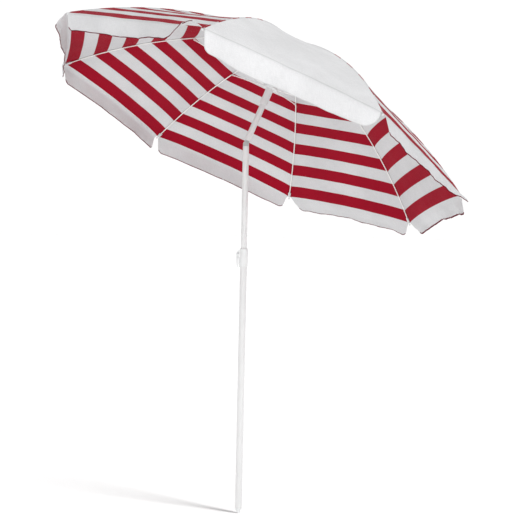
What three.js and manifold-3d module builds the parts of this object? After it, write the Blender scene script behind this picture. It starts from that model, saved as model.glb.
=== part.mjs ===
// Beach umbrella with a tilting eight-rib canopy on a two-piece clamped pole.
// Millimetres, +Z up. The origin is the end of the ground tip. The canopy tilts towards +X.
import * as THREE from 'three';
import { mergeVertices } from 'three/addons/utils/BufferGeometryUtils.js';
import Module from 'manifold-3d';

const wasm = await Module();
wasm.setup();

// ---- driving dimensions -------------------------------------------------
const RIB_R = 800;                    // open canopy radius at the rib tips
const SLOPE_CROWN = 9.44;             // rib slope at the crown, degrees below the rim plane
const SLOPE_RIM = 38.89;              // rib slope at the rim
const PIVOT_Z = 1356;                 // height of the tilt pin
const TILT = 25.2;                    // canopy tilt from upright, degrees
const APEX_H = 430;                   // canopy apex above the tilt pin, along the shaft
const CLOTH_T = 1.5;                  // canopy shell thickness
const VALANCE = 70;                   // depth of the hanging flaps
const LOWER_OD = 25, LOWER_ID = 22.8, LOWER_Z0 = 20.3, LOWER_Z1 = 938;
const UPPER_OD = 22, UPPER_ID = 19.6, UPPER_Z0 = 700;
const KNUCKLE = 10;                   // tube ends stop this far from the tilt pin
const CLAMP_Z0 = 906, CLAMP_Z1 = 974; // clamp collar
const CLAMP_AZ = 149.5;               // direction the clamp lever faces
const LEVER_PIN_Z = 956, LEVER_PIN_R = 20.5;
const CROWN_EYE_R = 20, CROWN_EYE_H = 420.5;   // rib pivots in the crown
const RUN_EYE_R = 22, RUN_EYE_H = 235;         // stretcher pivots in the runner
const JOIN_S = 374;                   // arc from the apex to the stretcher joint
const JOIN_DROP = 5.5;                // rivet below the rib axis
const RIB_DROP = 4.2;                 // rib axis below the cloth's middle
const RIB_RAD = 2;

// ---- helpers --------------------------------------------------------------
const rad = THREE.MathUtils.degToRad;
const A0 = rad(SLOPE_CROWN), A1 = rad(SLOPE_RIM);
const ARC = RIB_R * (A1 - A0) / (Math.sin(A1) - Math.sin(A0));
const CURV = (A1 - A0) / ARC;
const slope = (s) => A0 + CURV * s;
const seamR = (s) => (Math.sin(slope(s)) - Math.sin(A0)) / CURV;
const seamH = (s) => APEX_H + (Math.cos(slope(s)) - Math.cos(A0)) / CURV;
const smooth = (a, b, x) => { const t = Math.min(1, Math.max(0, (x - a) / (b - a))); return t * t * (3 - 2 * t); };

function clean(geometry) {
  let g = geometry.index ? geometry.clone() : geometry.clone();
  g.deleteAttribute('normal'); g.deleteAttribute('uv');
  g = mergeVertices(g, 1e-4);
  const p = g.attributes.position, ix = Array.from(g.index.array), out = [];
  let vol = 0;
  for (let i = 0; i < ix.length; i += 3) {
    const [a, b, c] = [ix[i], ix[i + 1], ix[i + 2]];
    if (a === b || b === c || a === c) continue;
    out.push(a, b, c);
    const A = new THREE.Vector3().fromBufferAttribute(p, a);
    const B = new THREE.Vector3().fromBufferAttribute(p, b);
    const C = new THREE.Vector3().fromBufferAttribute(p, c);
    vol += A.dot(B.cross(C));
  }
  if (vol < 0) for (let i = 0; i < out.length; i += 3) [out[i + 1], out[i + 2]] = [out[i + 2], out[i + 1]];
  g.setIndex(out);
  return g;
}
function solid(geometry) {
  const g = clean(geometry);
  return new wasm.Manifold(new wasm.Mesh({ numProp: 3,
    vertProperties: new Float32Array(g.attributes.position.array), triVerts: new Uint32Array(g.index.array) }));
}
function back(m) {
  const mesh = m.getMesh(), g = new THREE.BufferGeometry();
  g.setAttribute('position', new THREE.BufferAttribute(new Float32Array(mesh.vertProperties), 3));
  g.setIndex(new THREE.BufferAttribute(new Uint32Array(mesh.triVerts), 1));
  return g;
}
const lathe = (pts, seg = 24) => new THREE.LatheGeometry(pts.map(([r, z]) => new THREE.Vector2(r, z)), seg).rotateX(Math.PI / 2);
const ring = (ro, ri, z0, z1, seg = 24) => lathe([[ri, z0], [ro, z0], [ro, z1], [ri, z1], [ri, z0]], seg);
const rod = (r, z0, z1, seg = 16) => lathe([[0, z0], [r, z0], [r, z1], [0, z1]], seg);
const box = (x0, x1, y0, y1, z0, z1) => new THREE.BoxGeometry(x1 - x0, y1 - y0, z1 - z0).translate((x0 + x1) / 2, (y0 + y1) / 2, (z0 + z1) / 2);
// a pin along Y through (x, z)
const pinY = (r, x, z, y0, y1, seg = 12) => new THREE.CylinderGeometry(r, r, y1 - y0, seg).translate(x, (y0 + y1) / 2, z);
const torus = (R, r, z, seg = 32, side = 5) => new THREE.TorusGeometry(R, r, side, seg).translate(0, 0, z);
// round rod along a path of [x, z] points in the local XZ plane
function sweep(pts, r, steps, sides = 6) {
  const path = new THREE.CatmullRomCurve3(pts.map(([x, z]) => new THREE.Vector3(x, 0, z)), false, 'centripetal');
  const shape = new THREE.Shape();
  for (let i = 0; i < sides; i++) {
    const a = 2 * Math.PI * (i + 0.5) / sides;
    i ? shape.lineTo(r * Math.cos(a), r * Math.sin(a)) : shape.moveTo(r * Math.cos(a), r * Math.sin(a));
  }
  shape.closePath();
  return new THREE.ExtrudeGeometry(shape, { steps, bevelEnabled: false, extrudePath: path });
}
const union = (...gs) => gs.map(solid).reduce((a, b) => a.add(b));
const cut = (m, ...gs) => gs.map(solid).reduce((a, b) => a.subtract(b), m);

const WHITE_COAT = { color: 0xf0f0ee, roughness: 0.35, metalness: 0.05 };
const WHITE_PLASTIC = { color: 0xeceeec, roughness: 0.45, metalness: 0 };
const GREY_STEEL = { color: 0xa9adaf, roughness: 0.35, metalness: 0.9 };
const CLOTH_RED = { color: 0xa50c23, roughness: 0.85, metalness: 0 };
const CLOTH_WHITE = { color: 0xeeeeec, roughness: 0.85, metalness: 0 };
function add(group, name, geometry, mat) {
  const g = geometry.attributes ? clean(geometry) : back(geometry);
  const mesh = new THREE.Mesh(g, new THREE.MeshStandardMaterial(mat));
  mesh.name = name;
  group.add(mesh);
  return mesh;
}

const umbrella = new THREE.Group();

// ---- lower pole -------------------------------------------------------------
add(umbrella, 'ground_tip', lathe([[0, 0], [4, 0], [12.3, 19], [12.5, 20], [11.1, 20], [11.1, 52], [9.5, 55], [0, 55]], 24), WHITE_PLASTIC);
add(umbrella, 'lower_tube', ring(LOWER_OD / 2, LOWER_ID / 2, LOWER_Z0, LOWER_Z1, 32), WHITE_COAT);

// ---- pole clamp: collar, cross pin, flip lever --------------------------------
const clamp = new THREE.Group();
clamp.rotation.z = rad(CLAMP_AZ);
umbrella.add(clamp);
{
  const ri = LOWER_OD / 2 + 0.3, ru = UPPER_OD / 2 + 0.35;
  const sleeve = lathe([[ri, CLAMP_Z0], [14.6, CLAMP_Z0], [15, CLAMP_Z0 + 1.5], [15, CLAMP_Z1 - 3], [13.6, CLAMP_Z1], [ru, CLAMP_Z1],
    [ru, LOWER_Z1 + 0.3], [ri, LOWER_Z1 + 0.3], [ri, CLAMP_Z0]], 24);
  // two cheeks that carry the lever's cross pin
  const cheek = new THREE.Shape();
  cheek.moveTo(12.6, 940); cheek.lineTo(20, 944); cheek.lineTo(25.5, 950); cheek.lineTo(26.5, 956); cheek.lineTo(24.5, 961);
  cheek.lineTo(15, 971); cheek.lineTo(12.6, 971.5); cheek.closePath();
  const plate = (y0, y1) => new THREE.ExtrudeGeometry(cheek, { depth: y1 - y0, bevelEnabled: false }).rotateX(Math.PI / 2).translate(0, y1, 0);
  let collar = union(sleeve, plate(5.3, 8.3), plate(-8.3, -5.3));
  collar = cut(collar, box(10, 30, -5.3, 5.3, LEVER_PIN_Z - 9.5, LEVER_PIN_Z + 9.5),
    pinY(2.3, LEVER_PIN_R, LEVER_PIN_Z, -12, 12, 16), lathe([[0, LOWER_Z1 + 0.3], [ru, LOWER_Z1 + 0.3], [ru, CLAMP_Z1 + 5], [0, CLAMP_Z1 + 5]], 24));
  add(clamp, 'clamp_collar', collar, WHITE_PLASTIC);
  let pin = union(pinY(2, LEVER_PIN_R, LEVER_PIN_Z, -8.7, 8.7, 16), pinY(3.2, LEVER_PIN_R, LEVER_PIN_Z, 8.7, 10, 16), pinY(3.2, LEVER_PIN_R, LEVER_PIN_Z, -10, -8.7, 16));
  add(clamp, 'clamp_pin', pin, GREY_STEEL);
  // lever: eccentric cam head and a curved thumb plate that hangs along the collar
  const arm = new THREE.Shape();
  const P = [[19.5, 950], [17.9, 944], [17.2, 930], [17.6, 914], [19.8, 905.5], [23.2, 904.5], [24.6, 907], [27.6, 920], [28.2, 934], [28.2, 948], [27.6, 956], [24, 961.5], [20.5, 962.4]];
  P.forEach(([x, z], i) => i ? arm.lineTo(x, z) : arm.moveTo(x, z));
  arm.closePath();
  const slab = new THREE.ExtrudeGeometry(arm, { depth: 9.6, bevelEnabled: false }).rotateX(Math.PI / 2).translate(0, 4.8, 0);
  // wider thumb plate below the cheeks
  const thumb = new THREE.Shape();
  [[17.6, 938], [17.2, 930], [17.6, 914], [19.8, 905.5], [23.2, 904.5], [24.6, 907], [27.6, 920], [28.2, 934], [27.4, 938.6]].forEach(([x, z], i) => i ? thumb.lineTo(x, z) : thumb.moveTo(x, z));
  thumb.closePath();
  const wide = new THREE.ExtrudeGeometry(thumb, { depth: 15, bevelEnabled: false }).rotateX(Math.PI / 2).translate(0, 7.5, 0);
  let lever = union(slab, wide, pinY(7.2, LEVER_PIN_R - 0.9, LEVER_PIN_Z, -4.8, 4.8, 20));
  lever = cut(lever, pinY(2.3, LEVER_PIN_R, LEVER_PIN_Z, -12, 12, 16));
  add(clamp, 'clamp_lever', lever, WHITE_PLASTIC);
}

// ---- upper pole -------------------------------------------------------------
add(umbrella, 'upper_tube', ring(UPPER_OD / 2, UPPER_ID / 2, UPPER_Z0, PIVOT_Z - KNUCKLE, 32), WHITE_COAT);
add(umbrella, 'upper_tube_bush', lathe([[6, UPPER_Z0 - 5], [10.8, UPPER_Z0 - 5], [11.05, UPPER_Z0 - 4], [11.05, UPPER_Z0 - 0.3], [9.5, UPPER_Z0 - 0.3], [9.5, UPPER_Z0 + 22], [6, UPPER_Z0 + 22], [6, UPPER_Z0 - 5]], 24), WHITE_PLASTIC);

// ---- tilt joint: fork below, tongue above, cross pin --------------------------
const KW = 7.4;      // half width and end radius of the knuckle
{
  const z = PIVOT_Z;
  let fork = union(rod(9.5, z - 52, z - KNUCKLE + 0.8, 24), box(-KW, KW, -8.8, 8.8, z - KNUCKLE + 0.4, z), pinY(KW, 0, z, -8.8, 8.8, 24));
  fork = cut(fork, box(-20, 20, -4, 4, z - 8.4, z + 20), pinY(2.9, 0, z, -20, 20, 16));
  add(umbrella, 'tilt_fork', fork, GREY_STEEL);
  const pin = union(pinY(2.5, 0, z, -9.2, 9.2, 16), pinY(4, 0, z, 9.2, 10.6, 16), pinY(4, 0, z, -10.6, -9.2, 16));
  add(umbrella, 'tilt_pin', pin, GREY_STEEL);
}

// ---- canopy shaft group: local origin at the tilt pin, local Z along the shaft ---
const canopy = new THREE.Group();
canopy.position.set(0, 0, PIVOT_Z);
canopy.rotation.y = rad(TILT);
umbrella.add(canopy);

let tongue = union(rod(9.5, KNUCKLE - 0.8, 54, 24), box(-KW, KW, -3.6, 3.6, 0, KNUCKLE + 4), pinY(KW, 0, 0, -3.6, 3.6, 24));
tongue = cut(tongue, pinY(2.9, 0, 0, -20, 20, 16));
add(canopy, 'tilt_tongue', tongue, GREY_STEEL);
add(canopy, 'shaft_tube', ring(UPPER_OD / 2, UPPER_ID / 2, KNUCKLE, APEX_H - 18.7, 32), WHITE_COAT);

// crown with eight radial slots and a ring groove
{
  const e = CROWN_EYE_R, h = CROWN_EYE_H;
  let crown = solid(lathe([[5.8, h + 4], [e - 1.1, h + 4], [e - 1.1, h - 1.1], [e + 1.1, h - 1.1], [e + 1.1, h + 4], [24, h + 4], [24, h - 7.5],
    [14.6, h - 12], [14.6, h - 30], [UPPER_OD / 2 + 0.3, h - 30], [UPPER_OD / 2 + 0.3, h - 8.8], [5.8, h - 8.8], [5.8, h + 4]], 24));
  for (let i = 0; i < 8; i++) crown = crown.subtract(solid(box(e - 4.4, 30, -1.6, 1.6, h - 4.4, h + 10).rotateZ(i * Math.PI / 4)));
  add(canopy, 'crown', crown, WHITE_PLASTIC);
  add(canopy, 'crown_ring', torus(e, 0.8, h), GREY_STEEL);
  add(canopy, 'crown_cap', lathe([[0, h - 8], [5.5, h - 8], [5.5, APEX_H + 0.6], [19.5, APEX_H - 1.6], [20, APEX_H - 0.2], [17, APEX_H + 4.5], [10, APEX_H + 8], [0, APEX_H + 9.5]], 24), WHITE_PLASTIC);
}

// runner: sleeve on the shaft with a slotted flange for the stretchers
{
  const e = RUN_EYE_R, h = RUN_EYE_H, ri = UPPER_OD / 2 + 0.4;
  let runner = solid(lathe([[ri, h - 76], [13.6, h - 76], [14.4, h - 74], [14.4, h - 11], [26, h - 7], [26, h + 6.5], [e + 1.1, h + 6.5], [e + 1.1, h - 1.1], [e - 1.1, h - 1.1],
    [e - 1.1, h + 6.5], [ri, h + 6.5], [ri, h - 76]], 24));
  for (let i = 0; i < 8; i++) runner = runner.subtract(solid(box(e - 5.7, 30, -1.7, 1.7, h - 5.8, h + 10).rotateZ(i * Math.PI / 4)));
  add(canopy, 'runner', runner, WHITE_PLASTIC);
  add(canopy, 'runner_ring', torus(e, 0.8, h), GREY_STEEL);
}

// ---- ribs, stretchers, rivets and tips --------------------------------------
const ribPoint = (s, extra = 0) => {
  const a = slope(s), d = RIB_DROP + extra;
  return [seamR(s) - d * Math.sin(a), seamH(s) - d * Math.cos(a)];
};
const joint = ribPoint(JOIN_S, JOIN_DROP);
const RIBS = [['E', 0], ['D', 45], ['C', 90], ['B', 135], ['A', 180], ['H', 225], ['G', 270], ['F', 315]];
for (const [letter, azimuth] of RIBS) {
  const g = new THREE.Group();
  g.rotation.z = rad(azimuth);
  canopy.add(g);
  // rib: eye in the crown, flat neck, round wire, lug for the stretcher, thin spigot in the tip
  const wire = [[CROWN_EYE_R + 5, CROWN_EYE_H - 0.6]];
  for (const s of [60, 160, 270, 374, 480, 580, 680, 780]) wire.push(ribPoint(s, s === 60 ? 0.6 : 0));
  wire.push(ribPoint(ARC - 14));
  const a = slope(JOIN_S), [jx, jz] = ribPoint(JOIN_S);
  let rib = union(sweep(wire, RIB_RAD, 12, 6), pinY(3.5, CROWN_EYE_R, CROWN_EYE_H, -1.2, 1.2, 12),
    box(CROWN_EYE_R + 1, CROWN_EYE_R + 8, -1.2, 1.2, CROWN_EYE_H - 2.2, CROWN_EYE_H + 1.2));
  const lug = new THREE.BoxGeometry(6, 2.4, JOIN_DROP).translate(0, 0, -JOIN_DROP / 2).rotateY(a).translate(jx, 0, jz);
  rib = rib.add(solid(lug)).add(solid(pinY(3, joint[0], joint[1], -1.2, 1.2, 10)));
  rib = rib.add(solid(sweep([ribPoint(ARC - 17), ribPoint(ARC - 9), ribPoint(ARC - 1)], 1.2, 2, 6)));
  rib = cut(rib, pinY(1.3, CROWN_EYE_R, CROWN_EYE_H, -3, 3, 8), pinY(1.2, joint[0], joint[1], -3, 3, 8));
  add(g, 'rib_' + letter, rib, WHITE_COAT);
  // ball tip on the spigot
  const [tx, tz] = ribPoint(ARC - 13.6), at = slope(ARC - 6);
  const tip = lathe([[1.5, 0], [2.3, 0], [2.3, 13], [2.2, 15.5], [3.3, 17], [3.8, 19.2], [3.3, 21.6], [1.8, 23.4], [0, 23.8], [0, 14.4], [1.5, 14.4], [1.5, 0]], 8)
    .rotateY(Math.PI / 2 + at).translate(tx, 0, tz);
  add(g, 'rib_tip_' + letter, tip, WHITE_PLASTIC);
  // rivet
  add(g, 'rib_rivet_' + letter, union(pinY(0.8, joint[0], joint[1], -3.4, 3.4, 8), pinY(1.7, joint[0], joint[1], 3.3, 4.2, 8), pinY(1.7, joint[0], joint[1], -4.2, -3.3, 8)), GREY_STEEL);
  // stretcher: open eye at the runner, rod, clevis round the rib's lug
  const q = [RUN_EYE_R, RUN_EYE_H], dx = joint[0] - q[0], dz = joint[1] - q[1], len = Math.hypot(dx, dz), t = Math.atan2(dz, dx);
  let st = union(pinY(4.2, 0, 0, -1.2, 1.2, 12), box(2.6, 12, -1.2, 1.2, -1.6, 1.6), sweep([[9, 0], [len / 2, 0], [len - 12, 0]], 1.9, 1, 6),
    box(len - 15, len - 9.2, -2.9, 2.9, -2.2, 2.2), box(len - 10, len, 1.6, 2.9, -2.2, 2.2), box(len - 10, len, -2.9, -1.6, -2.2, 2.2),
    pinY(2.6, len, 0, 1.6, 2.9, 10), pinY(2.6, len, 0, -2.9, -1.6, 10));
  st = cut(st, pinY(2.3, 0, 0, -3, 3, 10), pinY(1.2, len, 0, -5, 5, 8));
  const mesh = add(g, 'stretcher_' + letter, st, WHITE_COAT);
  mesh.position.set(q[0], 0, q[1]);
  mesh.rotation.y = -t;
}

// ---- canopy cloth: eight gores, each with its hanging flap ---------------------
// local direction of "down" on the tilted canopy
const DOWN = new THREE.Vector3(Math.sin(rad(TILT)), 0, -Math.cos(rad(TILT)));
function gorePoint(phi0, phi1, s, t) {
  const u = s / ARC, a = slope(s), r = seamR(s), h = seamH(s), pm = (phi0 + phi1) / 2;
  const A = new THREE.Vector3(r * Math.cos(phi0), r * Math.sin(phi0), h);
  const B = new THREE.Vector3(r * Math.cos(phi1), r * Math.sin(phi1), h);
  const out = new THREE.Vector3(Math.cos(pm), Math.sin(pm), 0), up = new THREE.Vector3(0, 0, 1);
  const n = out.clone().multiplyScalar(Math.sin(a)).addScaledVector(up, Math.cos(a));
  const tt = out.clone().multiplyScalar(-Math.cos(a)).addScaledVector(up, Math.sin(a));
  const dn = -0.0132 * RIB_R * smooth(0.03, 0.42, u) * (1 - smooth(0.42, 0.95, u));
  const dt = RIB_R * (0.0152 * (1 - Math.exp(-u / 0.42)) * smooth(0, 0.1, u) + 0.0045 * smooth(0.88, 1, u));
  const pr = Math.pow(Math.max(0, 4 * t * (1 - t)), 0.72);
  return A.multiplyScalar(1 - t).addScaledVector(B, t).addScaledVector(n, dn * pr).addScaledVector(tt, dt * pr);
}
function gore(phi0, phi1) {
  const NT = 6, S_ROWS = [9, 26, 60, 120, 200, 280, 360, 440, 520, 600, 680, 760, 830, ARC];
  const rows = [], pm = (phi0 + phi1) / 2;
  const inPlane = (v, phi) => { // drop the part of v across the rib plane
    const c = new THREE.Vector3(-Math.sin(phi), Math.cos(phi), 0);
    return v.addScaledVector(c, -v.dot(c)).normalize();
  };
  for (const s of S_ROWS) {
    const w = 2 * seamR(s) * Math.sin((phi1 - phi0) / 2), inset = 0.8 / w;
    const row = [];
    for (let j = 0; j <= NT; j++) {
      const t = inset + (1 - 2 * inset) * j / NT, e = 1e-3;
      const p = gorePoint(phi0, phi1, s, t);
      const ds = gorePoint(phi0, phi1, Math.min(ARC, s + 1), t).sub(gorePoint(phi0, phi1, s - 1, t));
      const dt = gorePoint(phi0, phi1, s, Math.min(1 - inset, t + 0.02)).sub(gorePoint(phi0, phi1, s, Math.max(inset, t - 0.02)));
      let n = dt.cross(ds).normalize();
      if (n.z < 0) n.negate();
      if (j === 0) n = inPlane(n, phi0);
      if (j === NT) n = inPlane(n, phi1);
      row.push([p, n]);
    }
    rows.push(row);
  }
  // flap: leaves the rim along the cloth and bends down
  const out = new THREE.Vector3(Math.cos(pm), Math.sin(pm), 0);
  const a = slope(ARC), leave = out.clone().multiplyScalar(Math.cos(a)).add(new THREE.Vector3(0, 0, -Math.sin(a)));
  const chord = new THREE.Vector3(-Math.sin(pm), Math.cos(pm), 0);
  const width = 2 * RIB_R * Math.sin((phi1 - phi0) / 2);
  const STEPS = [5, 20, 42, VALANCE - 5, VALANCE];
  let acc = new THREE.Vector3(), last = 0;
  for (const w of STEPS) {
    const k = smooth(0, 26, (w + last) / 2);
    const dir = leave.clone().multiplyScalar(1 - k).addScaledVector(DOWN, k).normalize();
    acc = acc.clone().addScaledVector(dir, w - last);
    last = w;
    const inset = (9 + 8 * w / VALANCE + (w > VALANCE - 5 ? 8 : 0)) / width;
    const n = chord.clone().cross(dir).normalize();
    if (n.dot(out) < 0) n.negate();
    const row = [];
    for (let j = 0; j <= NT; j++) {
      const t = inset + (1 - 2 * inset) * j / NT;
      row.push([gorePoint(phi0, phi1, ARC, t).add(acc), n.clone()]);
    }
    rows.push(row);
  }
  const verts = [], idx = [], NR = rows.length, C = NT + 1;
  for (const sgn of [1, -1]) for (const row of rows) for (const [p, n] of row) {
    const q = p.clone().addScaledVector(n, sgn * CLOTH_T / 2);
    verts.push(q.x, q.y, q.z);
  }
  const top = (i, j) => i * C + j, bot = (i, j) => NR * C + i * C + j;
  const quad = (p, q, r, s) => idx.push(p, q, r, p, r, s);
  for (let i = 0; i < NR - 1; i++) for (let j = 0; j < NT; j++) {
    quad(top(i, j), top(i + 1, j), top(i + 1, j + 1), top(i, j + 1));
    quad(bot(i, j), bot(i, j + 1), bot(i + 1, j + 1), bot(i + 1, j));
  }
  for (let i = 0; i < NR - 1; i++) {
    quad(top(i, 0), bot(i, 0), bot(i + 1, 0), top(i + 1, 0));
    quad(top(i, NT), top(i + 1, NT), bot(i + 1, NT), bot(i, NT));
  }
  for (let j = 0; j < NT; j++) {
    quad(top(0, j), top(0, j + 1), bot(0, j + 1), bot(0, j));
    quad(top(NR - 1, j), bot(NR - 1, j), bot(NR - 1, j + 1), top(NR - 1, j + 1));
  }
  const g = new THREE.BufferGeometry();
  g.setAttribute('position', new THREE.BufferAttribute(new Float32Array(verts), 3));
  g.setIndex(idx);
  return g;
}
const GORES = [['ED', 0], ['DC', 45], ['CB', 90], ['BA', 135], ['AH', 180], ['HG', 225], ['GF', 270], ['FE', 315]];
for (const [pair, azimuth] of GORES) {
  add(canopy, 'gore_' + pair, gore(rad(azimuth), rad(azimuth + 45)), pair === 'HG' ? CLOTH_WHITE : CLOTH_RED);
}

export default umbrella;
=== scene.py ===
import math
import bpy
import bmesh
import numpy as np
from mathutils import Matrix, Vector


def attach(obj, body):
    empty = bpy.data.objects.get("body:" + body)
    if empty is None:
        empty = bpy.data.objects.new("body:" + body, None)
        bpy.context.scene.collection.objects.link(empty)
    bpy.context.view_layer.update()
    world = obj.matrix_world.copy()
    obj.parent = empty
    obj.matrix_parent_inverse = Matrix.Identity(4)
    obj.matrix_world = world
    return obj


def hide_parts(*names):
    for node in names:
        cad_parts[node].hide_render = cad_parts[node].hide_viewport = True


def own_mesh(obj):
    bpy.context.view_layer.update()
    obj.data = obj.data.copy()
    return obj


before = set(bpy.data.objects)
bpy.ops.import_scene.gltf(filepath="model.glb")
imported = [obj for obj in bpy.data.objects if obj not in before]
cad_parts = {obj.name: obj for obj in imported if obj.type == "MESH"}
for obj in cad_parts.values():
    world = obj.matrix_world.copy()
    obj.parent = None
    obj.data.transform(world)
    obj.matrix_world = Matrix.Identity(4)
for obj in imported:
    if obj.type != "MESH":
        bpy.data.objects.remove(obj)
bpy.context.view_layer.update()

scene = bpy.context.scene
rad = math.radians

# ------------------------------------------------------------------ dimensions (metres), the same as the frame's
RIB_R = 0.800
A0, A1 = rad(9.44), rad(38.89)
PIVOT_Z = 1.356
TILT = rad(25.2)
APEX = 0.430
RIB_DROP = 0.0042
JOIN_S, JOIN_DROP = 0.374, 0.0055
VALANCE = 0.070
ARC = RIB_R * (A1 - A0) / (math.sin(A1) - math.sin(A0))
CURV = (A1 - A0) / ARC
M_CAN = Matrix.Translation((0, 0, PIVOT_Z)) @ Matrix.Rotation(TILT, 4, "Y")
DOWN = np.array([math.sin(TILT), 0, -math.cos(TILT)])
RIBS = [("E", 0), ("D", 45), ("C", 90), ("B", 135), ("A", 180), ("H", 225), ("G", 270), ("F", 315)]
GORES = [("ED", 0), ("DC", 45), ("CB", 90), ("BA", 135), ("AH", 180), ("HG", 225), ("GF", 270), ("FE", 315)]
RED_W, WHITE_W = 0.0711 * RIB_R, 0.0720 * RIB_R


def slope(s):
    return A0 + CURV * s


def seam_r(s):
    return (math.sin(slope(s)) - math.sin(A0)) / CURV


def seam_h(s):
    return APEX + (math.cos(slope(s)) - math.cos(A0)) / CURV


def smooth(a, b, x):
    t = min(1.0, max(0.0, (x - a) / (b - a)))
    return t * t * (3 - 2 * t)


def cut_area(pair):
    # the flat cut from its own dimensions: the panel from the crown cut to the rim, then the flap below it
    total, steps, s0 = 0.0, 400, 0.032
    for k in range(steps):
        a, b = s0 + (ARC - s0) * k / steps, s0 + (ARC - s0) * (k + 1) / steps
        chord = (seam_r(a) + seam_r(b)) * math.sin(math.pi / 8)
        total += chord * math.hypot((seam_r(b) - seam_r(a)) * math.cos(math.pi / 8), seam_h(b) - seam_h(a))
    in0, in1, corner, _, deep = FLAPS[pair]
    rim = 2 * seam_r(ARC) * math.sin(math.pi / 8)
    total += VALANCE * (rim - (0.018 + in0 + in1) / 2) + sum(deep) / len(deep) * (rim - in0 - in1)
    return total - (1 - math.pi / 4) * (corner[0] ** 2 + corner[1] ** 2)


def rib_point(s, extra=0.0):
    a, d = slope(s), RIB_DROP + extra
    return np.array([seam_r(s) - d * math.sin(a), 0.0, seam_h(s) - d * math.cos(a)])


# ------------------------------------------------------------------ materials
def new_mat(name):
    m = bpy.data.materials.new(name)
    m.use_nodes = True
    nt = m.node_tree
    for n in list(nt.nodes):
        nt.nodes.remove(n)
    out = nt.nodes.new("ShaderNodeOutputMaterial")
    bsdf = nt.nodes.new("ShaderNodeBsdfPrincipled")
    nt.links.new(bsdf.outputs[0], out.inputs[0])
    return m, nt, bsdf


def node(nt, kind, **kw):
    n = nt.nodes.new(kind)
    for k, v in kw.items():
        if k in ("operation", "noise_dimensions", "wave_type", "bands_direction", "blend_type", "data_type", "uv_map", "samples", "feature", "wave_profile"):
            setattr(n, k, v)
        else:
            n.inputs[k].default_value = v
    return n


def math_node(nt, op, a, b=None, clamp=False):
    n = nt.nodes.new("ShaderNodeMath")
    n.operation = op
    n.use_clamp = clamp
    for i, v in enumerate((a, b)):
        if v is None:
            continue
        if isinstance(v, (int, float)):
            n.inputs[i].default_value = v
        else:
            nt.links.new(v, n.inputs[i])
    return n.outputs[0]


def mix_rgb(nt, fac, a, b, mode="MIX"):
    n = nt.nodes.new("ShaderNodeMix")
    n.data_type = "RGBA"
    n.blend_type = mode
    for sock, v in ((n.inputs[0], fac), (n.inputs[6], a), (n.inputs[7], b)):
        if isinstance(v, (int, float)):
            sock.default_value = v
        elif isinstance(v, tuple):
            sock.default_value = (*v, 1) if len(v) == 3 else v
        else:
            nt.links.new(v, sock)
    return n.outputs[2]


def ramp(nt, value, lo, hi, to_lo=0.0, to_hi=1.0):
    n = nt.nodes.new("ShaderNodeMapRange")
    n.interpolation_type = "SMOOTHSTEP"
    nt.links.new(value, n.inputs[0])
    n.inputs[1].default_value, n.inputs[2].default_value = lo, hi
    n.inputs[3].default_value, n.inputs[4].default_value = to_lo, to_hi
    return n.outputs[0]


def bump(nt, height, distance, strength=1.0, normal=None):
    n = nt.nodes.new("ShaderNodeBump")
    n.inputs["Strength"].default_value = strength
    n.inputs["Distance"].default_value = distance
    nt.links.new(height, n.inputs["Height"])
    if normal is not None:
        nt.links.new(normal, n.inputs["Normal"])
    return n.outputs[0]


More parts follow.
